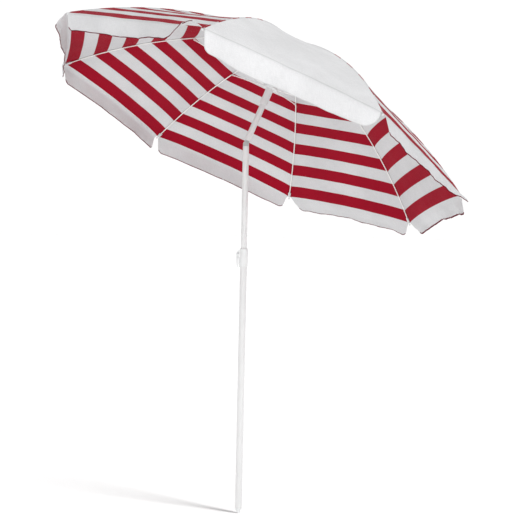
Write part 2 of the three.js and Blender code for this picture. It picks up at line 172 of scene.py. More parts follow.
def cloth_mat(name, kind, red=(0.318, 0.0014, 0.0158), white=(0.66, 0.66, 0.67)):
    """Plain-weave polyester. kind: striped, plain, or a solid colour of binding."""
    m, nt, b = new_mat(name)
    uv = node(nt, "ShaderNodeUVMap", uv_map="cloth")
    sep = nt.nodes.new("ShaderNodeSeparateXYZ")
    nt.links.new(uv.outputs[0], sep.inputs[0])
    u, v = sep.outputs[0], sep.outputs[1]
    tex = nt.nodes.new("ShaderNodeTexCoord")
    # slow variation of the dye and of the cloth's thickness
    big = node(nt, "ShaderNodeTexNoise", Scale=5.0, Detail=4.0, Roughness=0.55)
    nt.links.new(tex.outputs["Object"], big.inputs["Vector"])
    slub = nt.nodes.new("ShaderNodeMapping")
    slub.inputs["Scale"].default_value = (60, 900, 1)
    nt.links.new(uv.outputs[0], slub.inputs[0])
    slubn = node(nt, "ShaderNodeTexNoise", Scale=1.0, Detail=2.0, Roughness=0.6)
    nt.links.new(slub.outputs[0], slubn.inputs["Vector"])
    warp = nt.nodes.new("ShaderNodeMapping")
    warp.inputs["Scale"].default_value = (900, 45, 1)
    nt.links.new(uv.outputs[0], warp.inputs[0])
    warpn = node(nt, "ShaderNodeTexNoise", Scale=1.0, Detail=2.0, Roughness=0.6)
    nt.links.new(warp.outputs[0], warpn.inputs["Vector"])
    # weave: two crossed sets of threads, 0.45 mm apart
    thread = 2 * math.pi / 0.00045
    wu = math_node(nt, "SINE", math_node(nt, "MULTIPLY", u, thread))
    wv = math_node(nt, "SINE", math_node(nt, "MULTIPLY", v, thread))
    half = thread / 2
    chk = math_node(nt, "MULTIPLY", math_node(nt, "SINE", math_node(nt, "MULTIPLY", u, half)), math_node(nt, "SINE", math_node(nt, "MULTIPLY", v, half)))
    over = ramp(nt, chk, -0.25, 0.25)
    weave = math_node(nt, "ADD", math_node(nt, "MULTIPLY", over, wu), math_node(nt, "MULTIPLY", math_node(nt, "SUBTRACT", 1.0, over), wv))
    if kind == "striped":
        period = RED_W + WHITE_W
        fuzz = math_node(nt, "MULTIPLY", math_node(nt, "SUBTRACT", slubn.outputs[0], 0.5), 0.0006)
        vv = math_node(nt, "ADD", v, fuzz)
        fr = math_node(nt, "FRACT", math_node(nt, "DIVIDE", vv, period))
        e = 0.0009 / period
        edge = RED_W / period
        band = math_node(nt, "MULTIPLY", ramp(nt, fr, 0.0, e), ramp(nt, fr, edge - e, edge, 1.0, 0.0))
        gate = math_node(nt, "MULTIPLY", ramp(nt, vv, 0.0, 0.0008), ramp(nt, vv, 5 * period - WHITE_W / 2, 5 * period - WHITE_W / 2 + 0.001, 1.0, 0.0))
        mask = math_node(nt, "MULTIPLY", band, gate)
        col = mix_rgb(nt, mask, white, red)
    else:
        col = mix_rgb(nt, 0.0, white, white)
    # dye and thread variation
    tone = ramp(nt, big.outputs[0], 0.3, 0.7, 0.93, 1.03)
    tone2 = ramp(nt, math_node(nt, "ADD", slubn.outputs[0], warpn.outputs[0]), 0.7, 1.3, 0.94, 1.05)
    tone3 = ramp(nt, weave, -1.0, 1.0, 0.93, 1.02)
    t = math_node(nt, "MULTIPLY", math_node(nt, "MULTIPLY", tone, tone2), tone3)
    comb = nt.nodes.new("ShaderNodeCombineColor")
    for i in range(3):
        nt.links.new(t, comb.inputs[i])
    col = mix_rgb(nt, 1.0, col, comb.outputs[0], "MULTIPLY")
    nt.links.new(col, b.inputs["Base Color"])
    rough = ramp(nt, weave, -1, 1, 0.86, 0.72)
    nt.links.new(rough, b.inputs["Roughness"])
    b.inputs["Specular IOR Level"].default_value = 0.10
    b.inputs["Sheen Weight"].default_value = 0.02
    b.inputs["Sheen Roughness"].default_value = 0.45
    crease = node(nt, "ShaderNodeTexNoise", Scale=16.0, Detail=3.0, Roughness=0.5)
    nt.links.new(tex.outputs["Object"], crease.inputs["Vector"])
    n1 = bump(nt, crease.outputs[0], 0.004, 0.35)
    n2 = bump(nt, slubn.outputs[0], 0.0003, 0.35, n1)
    n3 = bump(nt, weave, 0.00008, 0.5, n2)
    nt.links.new(n3, b.inputs["Normal"])
    return m


def hard_mat(name, color, rough, metallic=0.0, grain=900.0, grain_h=0.00004, coat=0.0, wear=None, brushed=False, bevel=0.0006):
    m, nt, b = new_mat(name)
    tex = nt.nodes.new("ShaderNodeTexCoord")
    fine = node(nt, "ShaderNodeTexNoise", Scale=grain, Detail=2.0, Roughness=0.6)
    mid = node(nt, "ShaderNodeTexNoise", Scale=55.0, Detail=5.0, Roughness=0.65)
    slow = node(nt, "ShaderNodeTexNoise", Scale=9.0, Detail=3.0, Roughness=0.5)
    if brushed:
        mp = nt.nodes.new("ShaderNodeMapping")
        mp.inputs["Scale"].default_value = (1, 1, 0.06)
        nt.links.new(tex.outputs["Object"], mp.inputs[0])
        nt.links.new(mp.outputs[0], fine.inputs["Vector"])
    else:
        nt.links.new(tex.outputs["Object"], fine.inputs["Vector"])
    nt.links.new(tex.outputs["Object"], mid.inputs["Vector"])
    nt.links.new(tex.outputs["Object"], slow.inputs["Vector"])
    scuff = ramp(nt, mid.outputs[0], 0.60, 0.72)
    tone = ramp(nt, slow.outputs[0], 0.3, 0.7, 0.96, 1.02)
    comb = nt.nodes.new("ShaderNodeCombineColor")
    for i in range(3):
        nt.links.new(tone, comb.inputs[i])
    base = mix_rgb(nt, 1.0, color, comb.outputs[0], "MULTIPLY")
    worn = mix_rgb(nt, math_node(nt, "MULTIPLY", scuff, 0.35 if wear else 0.12), base, wear or tuple(c * 0.8 for c in color))
    nt.links.new(worn, b.inputs["Base Color"])
    r = math_node(nt, "ADD", math_node(nt, "MULTIPLY", fine.outputs[0], 0.14), rough - 0.07)
    r = math_node(nt, "ADD", r, math_node(nt, "MULTIPLY", scuff, 0.12), clamp=True)
    nt.links.new(r, b.inputs["Roughness"])
    b.inputs["Metallic"].default_value = metallic
    b.inputs["Coat Weight"].default_value = coat
    b.inputs["Coat Roughness"].default_value = 0.15
    nrm = None
    if bevel:
        bv = nt.nodes.new("ShaderNodeBevel")
        bv.samples = 4
        bv.inputs[0].default_value = bevel
        nrm = bv.outputs[0]
    nt.links.new(bump(nt, fine.outputs[0], grain_h, 0.5, nrm), b.inputs["Normal"])
    return m


MAT = {
    "striped": cloth_mat("cloth_striped", "striped"),
    "plain": cloth_mat("cloth_plain", "plain", white=(0.77, 0.77, 0.78)),
    "bind_red": cloth_mat("binding_red", "solid", white=(0.13, 0.005, 0.016)),
    "bind_white": cloth_mat("binding_white", "solid", white=(0.66, 0.66, 0.665)),
    "thread": cloth_mat("thread_white", "solid", white=(0.68, 0.675, 0.67)),
    "coat": hard_mat("white_powder_coat", (0.73, 0.73, 0.73), 0.34, grain=1400.0, grain_h=0.00003, coat=0.25, wear=(0.62, 0.62, 0.61)),
    # painted light: a brighter copy of the white coat for the ribs and stretchers, standing in for the shade on their
    # downward-facing sides; its scuffs are wear
    "rib_coat": hard_mat("white_rib_coat", (0.92, 0.91, 0.89), 0.36, grain=1400.0, grain_h=0.00003, coat=0.2, wear=(0.75, 0.74, 0.72)),
    "plastic": hard_mat("white_moulded_plastic", (0.75, 0.76, 0.76), 0.46, grain=2600.0, grain_h=0.00004),
    "cast": hard_mat("grey_cast_knuckle", (0.50, 0.51, 0.51), 0.42, grain=1800.0, grain_h=0.00004, coat=0.1, wear=(0.34, 0.34, 0.34)),
    "steel": hard_mat("zinc_plated_steel", (0.50, 0.51, 0.52), 0.32, metallic=1.0, grain=700.0, grain_h=0.00003, brushed=True, wear=(0.35, 0.34, 0.33)),
}


# ------------------------------------------------------------------ mesh helpers
def make(name, verts, faces, M, mat, body, replaces=(), slot=None, smooth_angle=35, uv=None, flip_check=True):
    me = bpy.data.meshes.new(name)
    me.from_pydata([tuple(float(c) for c in v) for v in verts], [], faces)
    if uv is not None:
        layer = me.uv_layers.new(name="cloth")
        for lp in me.loops:
            layer.data[lp.index].uv = uv[lp.vertex_index]
    if M is not None:
        me.transform(M)
    bm = bmesh.new()
    bm.from_mesh(me)
    bmesh.ops.recalc_face_normals(bm, faces=bm.faces) if flip_check else None
    bm.to_mesh(me)
    bm.free()
    me.update()
    me.shade_smooth()
    ob = bpy.data.objects.new(name, me)
    scene.collection.objects.link(ob)
    me.materials.append(MAT[mat])
    if smooth_angle:
        me.set_sharp_from_angle(angle=rad(smooth_angle))
    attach(ob, body)
    if replaces:
        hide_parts(*replaces)
    return ob


def lathe_data(profile, seg=64, axis="Z"):
    """A closed profile of (r, z); ends on the axis are closed with a fan."""
    verts, faces = [], []
    closed = profile[0] == profile[-1]
    pts = profile[:-1] if closed else profile
    idx = []
    for r, z in pts:
        if r < 1e-7:
            idx.append([len(verts)] * seg)
            verts.append((0, 0, z))
        else:
            idx.append(list(range(len(verts), len(verts) + seg)))
            for k in range(seg):
                a = 2 * math.pi * k / seg
                verts.append((r * math.cos(a), r * math.sin(a), z))
    n = len(pts)
    for i in range(n if closed else n - 1):
        p, q = idx[i], idx[(i + 1) % n]
        for k in range(seg):
            l = (k + 1) % seg
            f = [p[k], p[l], q[l], q[k]]
            g = []
            for x in f:
                if x not in g:
                    g.append(x)
            if len(g) > 2:
                faces.append(g)
    return verts, faces


def fillet(profile, r=0.0006, n=4):
    """Rounds the inner corners of an open or closed profile."""
    closed = profile[0] == profile[-1]
    pts = [np.array(p, float) for p in (profile[:-1] if closed else profile)]
    out = []
    m = len(pts)
    for i, p in enumerate(pts):
        if not closed and i in (0, m - 1):
            out.append(tuple(p))
            continue
        a, b = pts[i - 1] - p, pts[(i + 1) % m] - p
        la, lb = np.linalg.norm(a), np.linalg.norm(b)
        if la < 1e-9 or lb < 1e-9:
            continue
        k = min(r, la * 0.45, lb * 0.45)
        pa, pb = p + a / la * k, p + b / lb * k
        if np.dot(a / la, b / lb) < -0.98:
            out.append(tuple(p))
            continue
        for j in range(n + 1):
            t = j / n
            q = (1 - t) ** 2 * pa + 2 * t * (1 - t) * p + t * t * pb
            out.append((float(q[0]), float(q[1])))
    if closed:
        out.append(out[0])
    return out


def merge(*parts):
    verts, faces = [], []
    for v, f in parts:
        k = len(verts)
        verts += [tuple(p) for p in v]
        faces += [[i + k for i in g] for g in f]
    return verts, faces


def moved(part, M):
    v, f = part
    return [tuple(M @ Vector(p)) for p in v], f


def sweep_data(path, section, up=(0, 1, 0), scale=None):
    """A closed section [(side, up)...] swept along a path lying in a plane across `up`."""
    path = [np.array(p, float) for p in path]
    n, m = len(path), len(section)
    verts, faces = [], []
    side = np.array(up, float)
    for i, p in enumerate(path):
        t = path[min(i + 1, n - 1)] - path[max(i - 1, 0)]
        t /= np.linalg.norm(t)
        w = np.cross(side, t)
        w /= np.linalg.norm(w)
        k = 1.0 if scale is None else scale[i]
        for a, b in section:
            verts.append(tuple(p + side * a * k + w * b * k))
    for i in range(n - 1):
        for j in range(m):
            l = (j + 1) % m
            faces.append([i * m + j, i * m + l, (i + 1) * m + l, (i + 1) * m + j])
    faces.append(list(range(m))[::-1])
    faces.append([(n - 1) * m + j for j in range(m)])
    return verts, faces


def circle(r, n=16):
    return [(r * math.cos(2 * math.pi * i / n), r * math.sin(2 * math.pi * i / n)) for i in range(n)]


def plate_data(outline, hole, y0, y1, bev=0.0002):
    """A plate in the XZ plane from y0 to y1, outline around one round hole (cx, cz, r). Outline and hole share the point count."""
    n = len(outline)
    cx, cz, hr = hole
    angs = [math.atan2(z - cz, x - cx) for x, z in outline]
    inner = [(cx + hr * math.cos(a), cz + hr * math.sin(a)) for a in angs]
    verts, faces = [], []
    for y in (y0, y1):
        for ring in (outline, inner):
            for x, z in ring:
                verts.append((x, y, z))
    o0, i0, o1, i1 = 0, n, 2 * n, 3 * n
    for k in range(n):
        l = (k + 1) % n
        faces += [[o0 + k, o0 + l, i0 + l, i0 + k], [o1 + k, i1 + k, i1 + l, o1 + l],
                  [o0 + k, o1 + k, o1 + l, o0 + l], [i0 + k, i0 + l, i1 + l, i1 + k]]
    return verts, faces


def eye_data(r, hole, y0, y1, n=32):
    out = [(r * math.cos(2 * math.pi * k / n), r * math.sin(2 * math.pi * k / n)) for k in range(n)]
    return plate_data(out, (0, 0, hole), y0, y1)


def box_data(x0, x1, y0, y1, z0, z1, b=0.0003):
    """A box with chamfered long edges along X."""
    sec = [(y0 + b, z0), (y1 - b, z0), (y1, z0 + b), (y1, z1 - b), (y1 - b, z1), (y0 + b, z1), (y0, z1 - b), (y0, z0 + b)]
    verts = [(x, y, z) for x in (x0, x1) for y, z in sec]
    faces = [[k, (k + 1) % 8, 8 + (k + 1) % 8, 8 + k] for k in range(8)]
    faces += [list(range(8))[::-1], list(range(8, 16))]
    return verts, faces


def R_Z(deg):
    return Matrix.Rotation(rad(deg), 4, "Z")


PIN_Y = Matrix.Rotation(rad(-90), 4, "X")   # turns +Z to +Y


# ------------------------------------------------------------------ camera and light
PSI = rad(30.513)
ELEV = rad(1.8315)
ROLL = rad(1.2398)
DIST, CX, CZ, FOC = 5.7334 * RIB_R, 0.0727 * RIB_R, 1.1678 * RIB_R, 2.4187
to_part = Matrix.Rotation(-PSI, 4, "Z")
fwd = Vector((0, math.cos(ELEV), -math.sin(ELEV)))
right0 = Vector((1, 0, 0))
up0 = right0.cross(fwd)
right = math.cos(ROLL) * right0 + math.sin(ROLL) * up0
upv = -math.sin(ROLL) * right0 + math.cos(ROLL) * up0
pos = Vector((CX, 0, CZ)) - DIST * fwd
cam_m = Matrix(((right.x, upv.x, -fwd.x, pos.x), (right.y, upv.y, -fwd.y, pos.y), (right.z, upv.z, -fwd.z, pos.z), (0, 0, 0, 1)))
cam_data = bpy.data.cameras.new("camera")
cam_data.sensor_width = 36.0
cam_data.lens = 36.0 * FOC
cam_data.clip_end = 200
cam = bpy.data.objects.new("camera", cam_data)
cam.matrix_world = to_part @ cam_m
scene.collection.objects.link(cam)
scene.camera = cam
scene.view_settings.view_transform = "Standard"

world = bpy.data.worlds.new("studio")
scene.world = world
world.use_nodes = True
wn = world.node_tree
bg = wn.nodes["Background"]
bg.inputs[0].default_value = (1, 1, 1, 1)


def world_part(direction, lo, hi, to_lo, to_hi):
    """A smooth change of the studio's brightness along one direction."""
    tc = wn.nodes.new("ShaderNodeTexCoord")
    dot = wn.nodes.new("ShaderNodeVectorMath")
    dot.operation = "DOT_PRODUCT"
    wn.links.new(tc.outputs["Generated"], dot.inputs[0])
    dot.inputs[1].default_value = tuple(direction)
    return ramp(wn, dot.outputs["Value"], lo, hi, to_lo, to_hi)


def area(name, loc, target, size, power, color=(1, 1, 1)):
    d = bpy.data.lights.new(name, "AREA")
    d.shape = "DISK"
    d.size = size
    d.energy = power
    d.color = color
    o = bpy.data.objects.new(name, d)
    o.location = to_part @ Vector(loc)
    o.rotation_euler = ((to_part @ Vector(target)) - o.location).to_track_quat("-Z", "Y").to_euler()
    scene.collection.objects.link(o)
    return o


right_ = world_part(to_part @ Vector((1, 0, 0)), 0.30, 0.85, 1.0, 0.84)
above = world_part(Vector((0, 0, 1)), 0.30, 0.95, 1.0, 0.95)
behind = world_part(to_part @ Vector((0, -1, 0)), 0.10, 0.80, 1.03, 1.26)
left = world_part(to_part @ Vector((-1, 0, 0)), 0.30, 0.85, 1.0, 0.55)
shaped = math_node(wn, "MULTIPLY", math_node(wn, "MULTIPLY", math_node(wn, "MULTIPLY", right_, left), above), behind)
seen = wn.nodes.new("ShaderNodeLightPath").outputs["Is Camera Ray"]
wn.links.new(math_node(wn, "ADD", math_node(wn, "MULTIPLY", shaped, math_node(wn, "SUBTRACT", 1.0, seen)), math_node(wn, "MULTIPLY", seen, 1.02)), bg.inputs[1])

area("front_light", (-1.3, -4.6, 1.1), (0, 0, 1.5), 2.2, 20)
sun = bpy.data.lights.new("floor_light", "SUN")
sun.energy = 13.0
sun.angle = rad(19)
floor_key = bpy.data.objects.new("floor_light", sun)
floor_key.rotation_euler = (to_part.to_3x3() @ Vector((3.3, -2.2, 1.30))).to_track_quat("Z", "Y").to_euler()
scene.collection.objects.link(floor_key)

fm, fnt, fb = new_mat("floor_white")
fb.inputs["Base Color"].default_value = (0.47, 0.47, 0.47, 1)
fb.inputs["Roughness"].default_value = 0.9
fb.inputs["Emission Color"].default_value = (1, 1, 1, 1)
fb.inputs["Emission Strength"].default_value = 0.0
me = bpy.data.meshes.new("floor")
me.from_pydata([(-60, -60, 0), (60, -60, 0), (60, 60, 0), (-60, 60, 0)], [], [[0, 1, 2, 3]])
floor = bpy.data.objects.new("floor", me)
me.materials.append(fm)
scene.collection.objects.link(floor)
only_floor = bpy.data.collections.new("floor_light_receivers")
only_floor.objects.link(floor)
floor_key.light_linking.receiver_collection = only_floor


# ------------------------------------------------------------------ canopy cloth
def gore_point(phi0, phi1, s, t):
    u, a = s / ARC, slope(s)
    r, h, pm = seam_r(s), seam_h(s), (phi0 + phi1) / 2
    A = np.array([r * math.cos(phi0), r * math.sin(phi0), h])
    B = np.array([r * math.cos(phi1), r * math.sin(phi1), h])
    out = np.array([math.cos(pm), math.sin(pm), 0.0])
    n = out * math.sin(a) + np.array([0, 0, math.cos(a)])
    tt = -out * math.cos(a) + np.array([0, 0, math.sin(a)])
    dn = -0.0132 * RIB_R * smooth(0.03, 0.42, u) * (1 - smooth(0.42, 0.95, u))
    dt = RIB_R * (0.0152 * (1 - math.exp(-u / 0.42)) * smooth(0, 0.1, u) + 0.0045 * smooth(0.88, 1, u))
    pr = max(0.0, 4 * t * (1 - t)) ** 0.72
    return A * (1 - t) + B * t + n * dn * pr + tt * dt * pr


# each flap's cut: how far its lower corners stand in from the ribs, the corners' radius, how far the flap swings out
# from hanging straight (degrees at five places from its first rib to its second), and how much deeper it is cut there
FLAPS = {
    "ED": (0.045, 0.040, (0.018, 0.018), (22, 30, 34, 34, 28), (0, 0, 0, 0, 0)),
    "DC": (0.040, 0.014, (0.022, 0.018), (18, 8, 2, 0, 6), (0, 0, 0, 0, 0)),
    "CB": (0.026, 0.034, (0.016, 0.018), (6, 2, 4, 8, 10), (0, 0, 0, 0, 0)),
    "BA": (0.030, 0.036, (0.012, 0.010), (0, 2, 10, 24, 40), (0, 0, 0, 0, 0)),
    "AH": (0.022, 0.020, (0.016, 0.016), (6, 0, 0, 26, 96), (0, 0, 0, 0, 0)),
    "HG": (0.002, 0.044, (0.018, 0.058), (2, -4, -4, 0, 6), (0.010, 0.022, 0.018, 0.017, 0.006)),
    "GF": (0.020, 0.046, (0.012, 0.014), (10, 12, 14, 24, 48), (0, 0, 0, 0, 0)),
    "FE": (0.030, 0.036, (0.012, 0.014), (14, 28, 42, 40, 30), (0, 0, 0, 0, 0)),
}


def spread(values, t):
    x = min(max(t, 0.0), 1.0) * (len(values) - 1)
    i = min(int(x), len(values) - 2)
    f = x - i
    f = f * f * (3 - 2 * f)
    return values[i] * (1 - f) + values[i + 1] * f


class Gore:
    """One panel: a curved sheet from the crown to the rim, and the flap that hangs from the rim."""

    def __init__(self, pair, phi0, seed):
        self.in0, self.in1, self.corner, self.swing, self.deep = FLAPS[pair]
        self.pair = pair
        self.shift = 0.0075 if pair == "AH" else 0.0015
        self.p0, self.p1 = phi0, phi0 + math.pi / 4
        self.pm = phi0 + math.pi / 8
        self.out = np.array([math.cos(self.pm), math.sin(self.pm), 0.0])
        self.chord = np.array([-math.sin(self.pm), math.cos(self.pm), 0.0])
        self.width = 2 * RIB_R * math.sin(math.pi / 8)
        a = A1
        self.leave = self.out * math.cos(a) + np.array([0, 0, -math.sin(a)])
        rng = np.random.default_rng(seed)
        self.ph = rng.uniform(0, 2 * math.pi, 6)
        self.acc = {}

    def panel(self, s, t):
        p = gore_point(self.p0, self.p1, s, t)
        # light puckers that run in from the seams and the rim
        a = slope(s)
        n = self.out * math.sin(a) + np.array([0, 0, math.cos(a)])
        u = s / ARC
        edge = (4 * t * (1 - t)) ** 0.5
        w = 0.0006 * math.sin(2 * math.pi * (2.3 * t + 1.1 * u) + self.ph[0]) * edge * u
        w += 0.00045 * math.sin(2 * math.pi * (5.3 * t - 2.2 * u) + self.ph[1]) * edge * u * u
        side = min(t, 1 - t) * 2 * seam_r(s) * math.sin(math.pi / 8)
        w += 0.0008 * math.exp(-side / 0.035) * min(1, side / 0.008) * math.sin(2 * math.pi * s / 0.052 + self.ph[2] + 3 * t)
        return p + n * w

    def drop(self, w):
        k = round(w, 5)
        if k not in self.acc:
            acc, last, n = np.zeros(3), 0.0, 24
            for i in range(n):
                x = w * (i + 0.5) / n
                f = smooth(0, 0.026, x)
                d = self.leave * (1 - f) + DOWN * f
                acc = acc + d / np.linalg.norm(d) * (w / n)
            self.acc[k] = acc
        return self.acc[k]

    def flap(self, w, t):
        """A point of the flap: w from 0 at the rim to VALANCE at its edge."""
        f = w / VALANCE
        base = self.panel(ARC, t)
        d = self.drop(w) * (1 + spread(self.deep, t) / VALANCE)
        k = self.chord
        th = rad(spread(self.swing, t)) * min(1.0, 0.35 + f)
        if np.dot(np.cross(k, DOWN), self.out) < 0:
            th = -th
        d = d * math.cos(th) + np.cross(k, d) * math.sin(th) + k * np.dot(k, d) * (1 - math.cos(th))
        nrm = np.cross(k, d if np.linalg.norm(d) > 1e-6 else DOWN)
        nrm /= np.linalg.norm(nrm)
        if np.dot(nrm, self.out) < 0 and abs(th) < rad(80):
            nrm = -nrm
        x = (t - 0.5) * self.width
        amp = 1.3 if self.pair == "FE" else 0.8
        wave = amp * (0.0040 * math.sin(2 * math.pi * x / 0.235 + self.ph[3]) + 0.0022 * math.sin(2 * math.pi * x / 0.107 + self.ph[4]) + 0.0009 * math.sin(2 * math.pi * x / 0.043 + self.ph[5]))
        return base + d + nrm * wave * f ** 1.3

    def flap_normal(self, w, t):
        e = 0.002
        a = self.flap(min(w + e, VALANCE), t) - self.flap(max(w - e, 0.0), t)
        b = self.flap(w, t + 0.004) - self.flap(w, t - 0.004)
        n = np.cross(b, a)
        n /= np.linalg.norm(n)
        ref = np.cross(self.chord, a)
        return n if np.dot(n, ref) > 0 else -n

    def inset(self, w, which):
        c = 0.0
        r = self.corner[which]
        if w > VALANCE - r:
            k = w - (VALANCE - r)
            c = r - math.sqrt(max(0.0, r * r - k * k))
        full = (self.in0, self.in1)[which] - 0.4 * r
        return 0.005 + max(0.0, full - 0.005) * (w / VALANCE) ** 0.9 + c

    def flap_t(self, w, j01):
        i0, i1 = self.inset(w, 0) / self.width, self.inset(w, 1) / self.width
        return i0 + (1 - i0 - i1) * j01


def rows_of(g, NT=44):
    ts = [0.5 - 0.5 * math.cos(math.pi * (0.04 + 0.92 * j / NT)) / math.cos(math.pi * 0.04) for j in range(NT + 1)]
    ss = list(np.linspace(0.008, 0.06, 5)) + list(np.linspace(0.08, ARC, 52))
    ws = [0.002, 0.006, 0.011, 0.017, 0.024, 0.032, 0.040, 0.047, 0.0515, 0.056, 0.060, 0.0635, 0.0662, 0.0682, 0.0694, VALANCE]
    verts, uvs, rows = [], [], []
    for s in ss:
        w = 2 * seam_r(s) * math.sin(math.pi / 8)
        rows.append(len(verts))
        for t in ts:
            verts.append(g.panel(s, t))
            uvs.append(((t - 0.5) * w, ARC - s + g.shift))
    for w in ws:
        rows.append(len(verts))
        for t in ts:
            tt = g.flap_t(w, t)
            verts.append(g.flap(w, tt))
            uvs.append(((tt - 0.5) * g.width, g.shift - w))
    return verts, uvs, rows, NT


def add_solidify(ob, t, offset=0.0):
    md = ob.modifiers.new("thick", "SOLIDIFY")
    md.thickness = t
    md.offset = offset
    md.use_rim = True
    md.use_even_offset = False


def apply_mods(ob):
    dg = bpy.context.evaluated_depsgraph_get()
    me = bpy.data.meshes.new_from_object(ob.evaluated_get(dg))
    ob.modifiers.clear()
    ob.data = me


def strip_data(points, normals, sides, half, thick, lift):
    """A closed ribbon along points: half its width to each side, thick, lifted off the surface along the normals."""
    verts, faces = [], []
    n = len(points)
    sec = [(-1, 0.0), (-0.93, 0.7), (-0.6, 1.0), (0, 1.06), (0.6, 1.0), (0.93, 0.7), (1, 0.0), (0.6, -0.05), (0, -0.06), (-0.6, -0.05)]
    for p, nn, sd in zip(points, normals, sides):
        for a, b in sec:
            verts.append(p + sd * a * half + nn * (lift + b * thick))
    m = len(sec)
    for i in range(n - 1):
        for j in range(m):
            l = (j + 1) % m
            faces.append([i * m + j, i * m + l, (i + 1) * m + l, (i + 1) * m + j])
    faces.append(list(range(m))[::-1])
    faces.append([(n - 1) * m + j for j in range(m)])
    return verts, faces


def stitch_data(points, normals, pitch=0.0046, length=0.0030, r=0.00028, lift=0.0):
    """A row of stitches, small bars along a line."""
    pts = np.array(points)
    seg = np.linalg.norm(np.diff(pts, axis=0), axis=1)
    cum = np.concatenate([[0], np.cumsum(seg)])
    verts, faces = [], []
    for k in range(int(cum[-1] / pitch) - 1):
        a = (k + 0.5) * pitch
        ends = []
        for x in (a, a + length):
            i = min(len(seg) - 1, max(0, int(np.searchsorted(cum, x)) - 1))
            f = (x - cum[i]) / seg[i]
            nn = np.array(normals[i]) * (1 - f) + np.array(normals[i + 1]) * f
            ends.append((pts[i] * (1 - f) + pts[i + 1] * f, nn))
        (p, n0), (q, n1) = ends
        t = q - p
        t /= np.linalg.norm(t)
        b = len(verts)
        for pp, nn, tt in ((p, n0, -0.25), ((p + q) / 2, (n0 + n1) / 2, 0.6), (q, n1, -0.25)):
            sd = np.cross(t, nn)
            for a2, c2 in ((-1, 0), (0, 1), (1, 0), (0, -1)):
                verts.append(pp + sd * a2 * r + nn * (lift + (c2 + tt) * r))
        for i in range(2):
            for j in range(4):
                l = (j + 1) % 4
                faces.append([b + i * 4 + j, b + i * 4 + l, b + (i + 1) * 4 + l, b + (i + 1) * 4 + j])
        faces.append([b + 3, b + 2, b + 1, b])
        faces.append([b + 8, b + 9, b + 10, b + 11])
    return verts, faces


